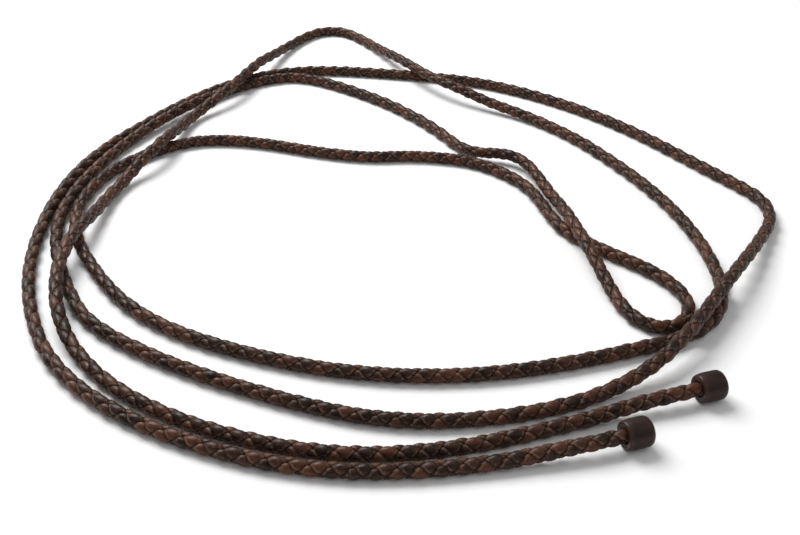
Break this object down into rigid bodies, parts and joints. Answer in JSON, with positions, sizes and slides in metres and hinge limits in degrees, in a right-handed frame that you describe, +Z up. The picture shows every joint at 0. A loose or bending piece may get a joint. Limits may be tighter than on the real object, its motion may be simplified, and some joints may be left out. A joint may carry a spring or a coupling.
{
  "type": "jump rope",
  "caption": "Plaited brown leather skipping rope lying in a loose coil, with a short dark stopper cap on each end and no handles.",
  "frame": {"origin": "centre of the coil's bounding box, on the surface that the coil lies on", "axes": "+Z up from that surface; +Y along the coil's longer side, towards the pointed loop and away from the two capped ends; +X towards the side where both caps lie"},
  "size_m": [0.2714, 0.3484, 0.0103],
  "materials": {
    "thong_leather": "smooth, lightly waxed",
    "cap_plastic": "smooth, semi-matte",
    "whipping_thread": "waxed thread"
  },
  "bodies": {
    "root": {"braided_rope": "thong_leather", "end_cap_a": "cap_plastic", "end_cap_b": "cap_plastic", "whipping_a": "whipping_thread", "whipping_b": "whipping_thread"}
  },
  "joints": []
}
